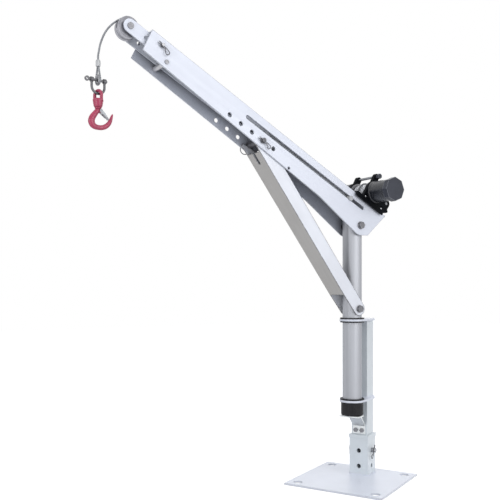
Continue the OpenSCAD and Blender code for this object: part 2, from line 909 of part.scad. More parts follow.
// Winch
// Saddle on the boom's top, with a lip down each side
module winch_foot() {
    length = foot_front - foot_rear;
    color("black") at_boom() difference() {
        union() {
            translate([foot_rear, -foot_half, boom_top]) cube([length, 2 * foot_half, foot_t]);
            for (y = [-foot_half, foot_half - foot_lip_t])
                translate([foot_rear, y, boom_top - foot_lip])
                    cube([length, foot_lip_t, foot_lip + foot_t]);
        }
        foot_bolt_holes(boom_top, foot_t);
        for (a = screw_rows, y = [-1, 1])
            translate([a, y * screw_y, boom_top - 1])
                cylinder(r = screw_r + run_fit, h = foot_t + 2);
    }
}

module foot_bolt_holes(low, t) {
    for (a = foot_bolt_rows, y = [-1, 1])
        translate([a, y * foot_bolt_y, low - 1]) cylinder(r = foot_bolt_r + run_fit, h = t + 2);
}

// Four bolts through the boom's top, and four screws that hold the supports on the foot
module foot_screws() {
    top = boom_top + foot_t;
    color("silver") at_boom() for (y = [-1, 1]) {
        for (a = foot_bolt_rows) translate([a, y * foot_bolt_y, 0]) {
            translate([0, 0, top]) cylinder(r = screw_head_r, h = 3.5);
            translate([0, 0, boom_top - boom_wall - 8])
                cylinder(r = foot_bolt_r, h = foot_t + boom_wall + 9);
            translate([0, 0, boom_top - boom_wall - 6]) cylinder(r = screw_head_r, h = 6, $fn = 6);
        }
        for (a = screw_rows) translate([a, y * screw_y, 0]) {
            translate([0, 0, top]) cylinder(r = screw_head_r, h = 5);
            translate([0, 0, boom_top - 4]) cylinder(r = screw_r, h = foot_t + 5);
        }
    }
}

module support_outline() {
    base_up = boom_top + foot_t - drum_up;
    front = support_front - drum_a;
    rear = support_rear - drum_a;
    difference() {
        union() {
            circle(r = support_r);
            translate(tie_top) circle(r = tie_boss_r);
            translate([tie_top[0] - tie_boss_r, 0]) square([2 * tie_boss_r, tie_top[1]]);
            translate(tie_back) circle(r = back_boss_r);
            translate([rear - 5, base_up + 7]) circle(r = 5);
            polygon([
                [front, base_up], [front - 3, 5], [0, 10], [-24, 24],
                [tie_back[0] + 4, tie_back[1] + back_boss_r],
                [tie_back[0] - back_boss_r, tie_back[1]], [rear - 5, base_up + 11],
                [rear, base_up]
            ]);
        }
        translate([-100, base_up - 100]) square([200, 100]);
        circle(r = shaft_r + 3);
        for (at = [tie_top, tie_back]) translate(at) circle(r = tie_bar_r + run_fit);
    }
}

module winch_support(y) {
    at_boom() translate([drum_a, 0, drum_up]) plate_y(y, support_t) support_outline();
}

module motor_support() {
    color("black") difference() {
        winch_support(support_in);
        screw_pockets();
    }
}

module gear_support() {
    color("black") difference() {
        winch_support(-support_in - support_t);
        screw_pockets();
    }
}

// Arches in the supports for the heads of the foot's screws, open to the outside
module screw_pockets() {
    room = screw_head_r + gap;
    low = boom_top + foot_t - 1;
    at_boom() for (a = screw_rows, y = [-1, 1]) {
        translate([a, y * screw_y, low]) cylinder(r = room, h = 11);
        translate([a - room, y * (screw_y + 5) - 5, low]) cube([2 * room, 10, 11]);
    }
}

module shaft_bushes() {
    color("goldenrod") at_boom() for (side = [-1, 1]) {
        from = side > 0 ? support_in : -support_in - support_t;
        ring_y(drum_a, drum_up, shaft_r + 3 - run_fit, shaft_r + run_fit / 2,
            from, from + support_t);
    }
}

module drum() {
    half = drum_w / 2;
    core_r = winding_r - rope_r - gap;
    color("dimgray") at_boom() {
        bar_y(drum_a, drum_up, shaft_r, gap - support_in - support_t,
            support_in + support_t - gap);
        bar_y(drum_a, drum_up, core_r, -half, half);
        for (y = [-half - flange_t, half])
            bar_y(drum_a, drum_up, drum_flange_r, y, y + flange_t);
    }
}

// Outer layer of rope on the drum, one open tube with straight ends
module rope_winding() {
    rings = 24;
    start = -winding_turns * winding_pitch / 2;
    points = [for (i = [0 : winding_turns * rings])
        let (turn = 360 * i / rings)
        [winding_r * sin(turn), start + winding_pitch * i / rings, -winding_r * cos(turn)]];
    least = norm(points[rings] - points[0]) - rope_d;
    echo(winding_gap = least);
    color("slategray") at_boom() translate([drum_a, 0, drum_up])
        wire(concat([points[0] - [rope_d, 0, 0]], points,
            [points[len(points) - 1] + [rope_d, 0, 0]]), rope_r, [0, 1, 0], 6);
}

module tie_bars() {
    color("dimgray") at_boom() for (at = [tie_top, tie_back])
        bar_y(drum_a + at[0], drum_up + at[1], tie_bar_r,
            -support_in - support_t, support_in + support_t);
}

module clutch_knob() {
    from = support_in + support_t + gap;
    color("black") at_boom() {
        bar_y(drum_a + tie_top[0], drum_up + tie_top[1], 5.5, from, from + 4);
        hex_y(drum_a + tie_top[0], drum_up + tie_top[1], 8, from + 4, from + 13);
    }
}

module motor_can() {
    from = support_in + support_t;
    wall = 2.5;
    color("black") at_boom() difference() {
        union() {
            bar_y(drum_a, drum_up, motor_r, from, from + motor_len);
            bar_y(drum_a, drum_up, motor_r + 1.5, from, from + 6);
        }
        bar_y(drum_a, drum_up, motor_r - wall, from + 4, from + motor_len + 1);
        bar_y(drum_a, drum_up, rotor_shaft_r + run_fit / 2, from - 1, from + 5);
    }
}

module armature() {
    from = support_in + support_t;
    color("peru") at_boom() {
        bar_y(drum_a, drum_up, motor_r - 8, from + 14, from + motor_len - 24);
        bar_y(drum_a, drum_up, 11, from + motor_len - 22, from + motor_len - 10);
        bar_y(drum_a, drum_up, rotor_shaft_r, from + gap, from + motor_len + 6);
    }
}

module motor_magnets() {
    from = support_in + support_t + 12;
    color("gray") at_boom() difference() {
        ring_y(drum_a, drum_up, motor_r - 2.6, motor_r - 7, from, from + motor_len - 32);
        for (z = [-1, 1])
            translate([drum_a - 9, from - 1, drum_up + z * motor_r - 12]) cube([18, motor_len, 24]);
    }
}

module motor_end_cap() {
    from = support_in + support_t + motor_len;
    color("darkslategray") at_boom() difference() {
        translate([drum_a, from + cap_len, drum_up]) rotate([90, 0, 0])
            rotate([0, 0, cap_turn]) cylinder(r = motor_r + 3, h = cap_len, $fn = 8);
        bar_y(drum_a, drum_up, rotor_shaft_r + run_fit / 2, from - 1, from + 8);
    }
}

// The housing's neck clears the foot's top
module gearbox_housing() {
    from = -support_in - support_t;
    neck_end = -foot_half - gap;
    color("black") at_boom() difference() {
        union() {
            bar_y(drum_a, drum_up, gearbox_r, from - gearbox_len, neck_end);
            bar_y(drum_a, drum_up, min(gearbox_r, gearbox_neck_r), neck_end, from);
        }
        bar_y(drum_a, drum_up, gearbox_r - 4, from - gearbox_len - 1, from - 5);
    }
}

module ring_gear() {
    from = -support_in - support_t - 6;
    color("gray") at_boom()
        ring_y(drum_a, drum_up, gearbox_r - 4.1, gearbox_r - 9, from - gearbox_len + 14, from);
}

module gearbox_cover() {
    from = -support_in - support_t - gearbox_len;
    color("black") at_boom() {
        bar_y(drum_a, drum_up, gearbox_r - 1, from - 5, from);
        bar_y(drum_a, drum_up, 20, from - 9, from - 5);
        for (i = [0 : 5])
            translate([drum_a, 0, drum_up]) rotate([0, 60 * i, 0])
                bar_y(gearbox_r - 7, 0, 3, from - 8, from - 5);
    }
}

// Rope: the run along the boom with its last turn on the drum, the bend over the sheave,
// and the short drop to the ferrule
run_slope = asin((rope_turn_r + run_r) / norm([sheave_a - drum_a, drum_up - sheave_up]))
    - atan2(drum_up - sheave_up, sheave_a - drum_a);

function on_circle(a, up, r, turn) = [a + r * cos(turn), 0, up + r * sin(turn)];

module rope_run() {
    steps = 20;
    arc = [for (i = [steps : -1 : 0])
        on_circle(drum_a, drum_up, run_r, run_slope - 90 - run_wrap * i / steps)];
    sheave_end = on_circle(sheave_a, sheave_up, rope_turn_r, run_slope + 90);
    drum_end = arc[steps];
    straight = [for (i = [1 : 8]) drum_end + (sheave_end - drum_end) * i / 8];
    color("slategray") at_boom() wire(concat(arc, straight), rope_r, [0, 1, 0]);
}

module rope_bend() {
    steps = 10;
    start = 89.6 + run_slope;
    stop = leave_turn + 0.6 - boom_angle;
    color("slategray") at_boom()
        wire([for (i = [0 : steps])
            on_circle(sheave_a, sheave_up, rope_turn_r, start + (stop - start) * i / steps)],
            rope_r, [0, 1, 0]);
}

module rope_drop() {
    color("slategray") wire(concat([drop_start], drop_route), rope_r, [0, 1, 0]);
}

module ferrule() {
    color("silver") translate([hook_x, 0, ferrule_low]) rotate_extrude() polygon([
        [0, 0], [5.2, 0], [5.8, 3], [5.8, 12], [4.8, 15], [0, 15]
    ]);
}

// Teardrop loop in a plane across the shackle pin, its two ends side by side at the top
module eye_loop(half, low, high, r) {
    tip = r + 0.3;
    outline = concat(
        [[tip, high], [tip, high - r]],
        [for (t = [-30 : 20 : 210]) [half * cos(t), low + half - half * sin(t)]],
        [[-tip, high - r], [-tip, high]]
    );
    translate([hook_x, 0, 0]) rotate([0, 0, pin_yaw + 90])
        wire([for (p = outline) [p[0], 0, p[1]]], r, [0, 1, 0]);
}

module rope_eye() {
    color("slategray") eye_loop(eye_loop_half, thimble_low - thimble_r - rope_r - 0.2,
        ferrule_low - 0.1, rope_r);
}

module thimble() {
    color("silver") eye_loop(eye_loop_half - rope_r - thimble_r - 0.2, thimble_low,
        ferrule_low - 20, thimble_r);
}

module shackle_pin() {
    color("gray") translate([hook_x, 0, shackle_z]) rotate([0, 0, pin_yaw]) {
        rotate([0, 90, 0]) translate([0, 0, -bow_half - 6])
            cylinder(r = shackle_pin_r, h = 2 * bow_half + 14);
        translate([bow_half + 12, 0, 0]) rotate([90, 0, 0]) difference() {
            cylinder(r = lug_r, h = 4, center = true);
            cylinder(r = 2.5, h = 6, center = true);
        }
    }
}

module shackle_bow() {
    drop = shackle_z - bow_z - bow_half;
    color("gray") translate([hook_x, 0, 0]) rotate([0, 0, pin_yaw]) difference() {
        union() {
            translate([0, 0, bow_z + bow_half]) rotate([90, 0, 0]) rotate([0, 0, 180])
                rotate_extrude(angle = 180) translate([bow_half, 0])
                    circle(d = shackle_d, $fn = 24);
            for (x = [-1, 1]) translate([x * bow_half, 0, bow_z + bow_half]) {
                cylinder(d = shackle_d, h = drop, $fn = 24);
                translate([0, 0, drop]) rotate([0, 90, 0])
                    cylinder(r = lug_r, h = shackle_d + 1, center = true);
            }
        }
        translate([0, 0, shackle_z]) rotate([0, 90, 0])
            cylinder(r = shackle_pin_r + run_fit / 2, h = 60, center = true);
    }
}

// Link shaped eye of the swivel, hung on the shackle's bow
module hook_eye() {
    bar_low = swivel_z + 15;
    arc_z = eye_top_z + eye_rod_r - eye_half;
    color("crimson") translate([hook_x, 0, 0]) rotate([0, 0, eye_yaw]) {
        translate([0, 0, arc_z]) rotate([90, 0, 0])
            rotate_extrude(angle = 180) translate([eye_half, 0])
                circle(r = eye_rod_r, $fn = 24);
        for (x = [-1, 1]) translate([x * eye_half, 0, bar_low])
            cylinder(r = eye_rod_r, h = arc_z - bar_low, $fn = 24);
        difference() {
            translate([0, 0, swivel_z]) rotate_extrude() polygon([
                [0, 0], [9, 0], [10.5, 3], [13, 17], [12, 20], [0, 20]
            ]);
            translate([0, 0, swivel_z - 1]) cylinder(r = 5 + run_fit / 2, h = 9);
            translate([0, 0, swivel_z + 7.9]) cylinder(r = 8, h = 5);
        }
    }
}

module hook_body() {
    path = [[0, -3], [2, -8], [8, -16], [14, -25], [16.5, -34], [14, -42], [8, -46.5],
        [0, -48], [-9, -47.5], [-18, -44], [-26, -37], [-31, -28], [-34, -19], [-36, -13]];
    radii = [5.5, 6, 6.8, 7.8, 8.3, 7.8, 6.8, 6, 6, 6, 5.6, 4.6, 3.2, 1.8];
    color("crimson") translate([hook_x, 0, 0]) {
        sweep([for (p = path) [p[0], 0, swivel_z + p[1]]], radii, [0, 1, 0], 12, hook_y_flat);
        translate([0, 0, swivel_z - 3.6]) cylinder(r = 8, h = 3.6 - gap);
        translate([0, 0, swivel_z - 6]) cylinder(r = 5, h = 15);
        translate([0, 0, swivel_z + 8.3]) cylinder(r = 7.6, h = 4);
        translate([latch_x - hook_x, 0, latch_z]) rotate([90, 0, 0]) difference() {
            cylinder(r = 3.2, h = 2 * latch_in - 2 * gap, center = true);
            cylinder(r = 1.35, h = 20, center = true);
        }
    }
}

// Sprung gate: two cheeks astride the hook's neck and a tongue that reaches the tip
module latch() {
    t = 1;
    color("silver") translate([latch_x, 0, latch_z]) {
        both_plates(latch_in, t) difference() {
            union() {
                circle(r = 3.8);
                rotate(90 - latch_lean) translate([-latch_len * 0.75, -3]) polygon([
                    [0, 1.5], [latch_len * 0.75, -0.6], [latch_len * 0.75, 6.6], [0, 4.5]
                ]);
            }
            circle(r = 1.35);
        }
        rotate([0, latch_lean, 0]) translate([-0.5, -latch_in - t, -latch_len])
            cube([1, 2 * (latch_in + t), latch_len - 9]);
    }
}

module latch_pin() {
    color("silver") bar_y(latch_x, latch_z, 1.25, -latch_in - 2, latch_in + 2);
}

base_plate();
receiver_tube();
post_tube();
upper_ring_plate();
lower_ring_plate();
mast_bushes();
mast_foot_cup();
foot_bracket();
bracket_bolts();
receiver_pin();
receiver_clip();
mast_tube();
boom_pivot_bolt();
brace_pivot_bolt();
pivot_nuts();
boom_pivot_spacers();
brace_pivot_washers();
boom_channel();
roller_bolt();
support_roller();
jib_lock_pin();
brace_pin();
pin_clips();
brace_pin_ring();
pin_sleeve();
brace_channel();
jib_channel();
jib_guide_bolt();
jib_guide_rollers();
sheave();
sheave_spacers();
sheave_axle();
winch_foot();
foot_screws();
motor_support();
gear_support();
shaft_bushes();
drum();
rope_winding();
tie_bars();
clutch_knob();
motor_can();
armature();
motor_magnets();
motor_end_cap();
gearbox_housing();
ring_gear();
gearbox_cover();
rope_run();
rope_bend();
rope_drop();
ferrule();
rope_eye();
thimble();
shackle_pin();
shackle_bow();
hook_eye();
hook_body();
latch();
latch_pin();
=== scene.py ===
"""Looks of the portable folding crane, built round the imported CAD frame. Metres, Z up."""
import json
import math

import bmesh
import bpy
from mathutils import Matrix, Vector


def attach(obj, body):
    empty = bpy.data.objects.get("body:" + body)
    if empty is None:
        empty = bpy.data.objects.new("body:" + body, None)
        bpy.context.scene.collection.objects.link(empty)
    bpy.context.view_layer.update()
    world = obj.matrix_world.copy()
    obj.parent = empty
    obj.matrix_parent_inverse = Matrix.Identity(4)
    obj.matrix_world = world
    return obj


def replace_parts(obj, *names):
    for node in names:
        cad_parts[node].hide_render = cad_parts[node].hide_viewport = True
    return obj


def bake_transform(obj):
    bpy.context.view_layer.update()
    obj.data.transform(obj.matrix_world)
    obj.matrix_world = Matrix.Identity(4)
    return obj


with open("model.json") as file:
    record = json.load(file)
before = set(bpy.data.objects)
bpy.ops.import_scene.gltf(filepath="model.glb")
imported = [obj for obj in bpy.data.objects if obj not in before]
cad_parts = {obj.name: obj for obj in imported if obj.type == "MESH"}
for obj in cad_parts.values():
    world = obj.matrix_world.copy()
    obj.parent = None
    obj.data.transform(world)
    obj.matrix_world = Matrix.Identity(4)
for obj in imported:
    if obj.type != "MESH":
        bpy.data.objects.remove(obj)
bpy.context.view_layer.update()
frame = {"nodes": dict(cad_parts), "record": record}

# Places and sizes that part.scad sets, in millimetres and degrees
MM = 0.001
BOOM = math.radians(28.4377)
BRACE = math.radians(52.9664)
BASE_TURN = math.radians(116.37)
PIVOT_Z = 759.5
POST_Y = 80.5
POST_HALF, RECEIVER_HALF = 25, 30
DRUM_A, DRUM_UP = 1, 114
SHEAVE_A, SHEAVE_UP = 846, 53
HOOK_X = 791.679
SHACKLE_Z = 1070.971
SHACKLE_PIN_R = 3.2
FERRULE_LOW = 1104.471
SWIVEL_Z = 1006.471
LATCH_X, LATCH_Z = HOOK_X - 6, SWIVEL_Z - 8
EYE_YAW = math.radians(98)
ROPE_D = 5


def at_boom(a, y, up):
    """A point of the boom's own frame, in metres in the row frame."""
    c, s = math.cos(BOOM), math.sin(BOOM)
    return Vector((a * c - up * s, y, PIVOT_Z + a * s + up * c)) * MM


def at_base(x, y, z):
    """A point of the turned base, in metres in the row frame."""
    c, s = math.cos(BASE_TURN), math.sin(BASE_TURN)
    return Vector((x * c - y * s, x * s + y * c, z)) * MM


# Camera at the photograph's place
camera = bpy.data.objects.new("camera", bpy.data.cameras.new("camera"))
bpy.context.collection.objects.link(camera)
camera.location = (1.3844, 1.6176, 0.5729)
view_along = Vector((-0.53439, -0.84524, 0))
camera.rotation_euler = view_along.to_track_quat("-Z", "Y").to_euler()
camera.data.lens = 50.68
camera.data.sensor_width = 36
camera.data.shift_y = 0.0772
camera.data.clip_start = 0.05
bpy.context.scene.camera = camera


# Materials
MIX_SHARE, MIX_A, MIX_B = 0, 6, 7   # the Mix node's colour sockets
MIDDLE = (0.3, 0.7)                 # where most of a noise's values lie
COAT_ROUGH = 0.12
AO_REACH = 0.09                     # metres, reach of the painted shade in hollows, a little more than the boom is wide
DARK_STREAK = 0.45


class Nodes:
    """A material's node tree with short calls to add and join nodes."""

    def __init__(self, name):
        self.mat = bpy.data.materials.new(name)
        self.mat.use_nodes = True
        self.tree = self.mat.node_tree
        self.shader = self.tree.nodes["Principled BSDF"]

    def add(self, kind, inputs=None, **settings):
        node = self.tree.nodes.new("ShaderNode" + kind)
        for key, value in settings.items():
            setattr(node, key, value)
        for key, value in (inputs or {}).items():
            self.put(node.inputs[key], value)
        return node

    def put(self, socket, value):
        if isinstance(value, bpy.types.NodeSocket):
            self.tree.links.new(value, socket)
        else:
            socket.default_value = value

    def calc(self, operation, *values):
        return self.add("Math", dict(enumerate(values)), operation=operation).outputs[0]

    def place(self, turn=0.0, stretch=(1, 1, 1)):
        """Object coordinates turned about Y and stretched."""
        turned = self.add("Mapping", {"Vector": self.add("TexCoord").outputs["Object"],
                                      "Rotation": (0, turn, 0)})
        return self.add("Mapping", {"Vector": turned.outputs[0], "Scale": stretch}).outputs[0]

    def noise(self, place, scale, detail=3.0, rough=0.55):
        return self.add("TexNoise", {"Vector": place, "Scale": scale, "Detail": detail,
                                     "Roughness": rough}).outputs["Fac"]

    def ramp(self, value, low, high, to_low=0.0, to_high=1.0):
        return self.add("MapRange", {"Value": value, "From Min": low, "From Max": high,
                                     "To Min": to_low, "To Max": to_high},
                        interpolation_type="SMOOTHSTEP").outputs[0]

    def mix(self, share, a, b):
        sockets = {MIX_SHARE: share, MIX_A: a, MIX_B: b}
        return self.add("Mix", sockets, data_type="RGBA").outputs[2]

    def mottled(self, noise, color, amount):
        """The colour, a little darker and a little lighter with the noise."""
        return self.mix(self.ramp(noise, *MIDDLE), shade(color, 1 - amount),
                        shade(color, 1 + amount))

    def faces_along_y(self):
        """One on the faces that look along the object's own Y, nought on the others: the mask of
        the painted light and shade by face direction.
        """
        normal = self.add("TexCoord").outputs["Normal"]
        across = self.add("SeparateXYZ", {0: normal}).outputs[1]
        return self.ramp(self.calc("ABSOLUTE", across), 0.5, 0.9)

    def openness(self):
        """Nought deep inside a channel, one where the surface is free: the mask of the painted
        shade in hollows.
        """
        free = self.add("AmbientOcclusion", {"Distance": AO_REACH}, samples=8).outputs["AO"]
        return self.ramp(free, 0.1, 0.7)

    def edges(self, round_normal):
        """One at the edges of the piece, and nought on its faces."""
        flat_normal = self.add("NewGeometry").outputs["Normal"]
        same = self.add("VectorMath", {0: round_normal, 1: flat_normal},
                        operation="DOT_PRODUCT").outputs["Value"]
        return self.ramp(same, 0.995, 0.86)

    def grooves(self, pitch, end, axis):
        """A wave along an axis, of this pitch in metres, up to the place where it ends."""
        place = self.add("SeparateXYZ", {0: self.add("TexCoord").outputs["Object"]})
        along = place.outputs[axis]
        wave = self.calc("SINE", self.calc("MULTIPLY", along, math.tau / pitch))
        return self.calc("MULTIPLY", wave, self.calc("LESS_THAN", along, end))


def shade(color, factor):
    return (color[0] * factor, color[1] * factor, color[2] * factor, 1)


def finish_of(name, color, rough, metallic=0.0, turn=0.0, stretch=(1, 1, 1), mottle=0.08,
              mottle_scale=30, bands=False, grain=0.1, grain_scale=900, grain_depth=0.0002,
              rough_spread=0.1, edge=None, edge_radius=0.0009, edge_share=0.5, specks=None,
              speck_scale=260, speck_level=0.72, coat=0.0, specular=0.5, anisotropy=0.0,
              thread=None, sides=None, hollow_shade=None, strength=0.35):
    """A coated, moulded or metal finish: mottled colour, grain, specks, and an edge tint that
    stands for wear and for painted highlights and shade.

    turn and stretch lay the grain along a drawn direction, and bands lays the mottling along it
    too; on the mast this banded mottling is painted reflection as well as drawn-tube tone.
    sides is the tint of the faces that look along Y, painted light and shade by face direction,
    and hollow is the tint that the colour falls to deep inside a channel, painted shade in
    hollows.
    thread is (pitch, end, axis) of grooves, in metres."""
    n = Nodes(name)
    plain, drawn = n.place(), n.place(turn, stretch)
    round_normal = n.add("Bevel", {"Radius": edge_radius}, samples=8).outputs[0]
    broad = n.noise(drawn if bands else plain, mottle_scale, 2 if bands else 4)
    fine = n.noise(drawn, grain_scale, 5, 0.65)

    tint = n.mottled(broad, color, mottle)
    streak = n.ramp(fine, *MIDDLE, 0, 0.55 * grain)
    tint = n.mix(streak, tint, shade(color, DARK_STREAK))
    # Painted light and shade: faces that look along Y take their own tint, lighter or darker
    # than the rest, as light falls on them.
    if sides:
        tint = n.mix(n.faces_along_y(), tint, n.mottled(broad, sides, mottle))
    # Painted shade in hollows: where ambient occlusion finds cover, deep inside a channel, the
    # colour falls to the hollow tint.
    if hollow_shade:
        tint = n.mix(n.openness(), shade(hollow_shade, 1), tint)
    if specks:
        dots = n.ramp(n.noise(plain, speck_scale, 2, 0.4), speck_level, speck_level + 0.04)
        patches = n.ramp(n.noise(plain, speck_scale / 9, 2), 0.45, 0.6)
        tint = n.mix(n.calc("MULTIPLY", dots, patches), tint, shade(specks, 1))
    # Edge tint: lighter edges are wear and painted highlights, darker edges are painted shade
    # and reflection along folds, bends, outlines and hole walls.
    if edge:
        edge_wear_and_shading = n.ramp(n.noise(plain, 160, 3), 0.25, 0.6, 0.25 * edge_share, edge_share)
        tint = n.mix(n.calc("MULTIPLY", n.edges(round_normal), edge_wear_and_shading), tint, shade(edge, 1))
    n.put(n.shader.inputs["Base Color"], tint)

    n.put(n.shader.inputs["Roughness"],
          n.ramp(n.noise(drawn, grain_scale / 6, 4), 0.25, 0.75,
                 max(rough - rough_spread, 0.04), rough + rough_spread))
    for socket, value in (("Metallic", metallic), ("Coat Weight", coat),
                          ("Coat Roughness", COAT_ROUGH), ("Specular IOR Level", specular),
                          ("Anisotropic", anisotropy)):
        n.shader.inputs[socket].default_value = value

    height = n.calc("ADD", n.grooves(*thread), fine) if thread else fine
    bump = n.add("Bump", {"Height": height, "Strength": strength, "Distance": grain_depth})
    if edge:
        n.put(bump.inputs["Normal"], round_normal)
    n.put(n.shader.inputs["Normal"], bump.outputs[0])
    return n.mat


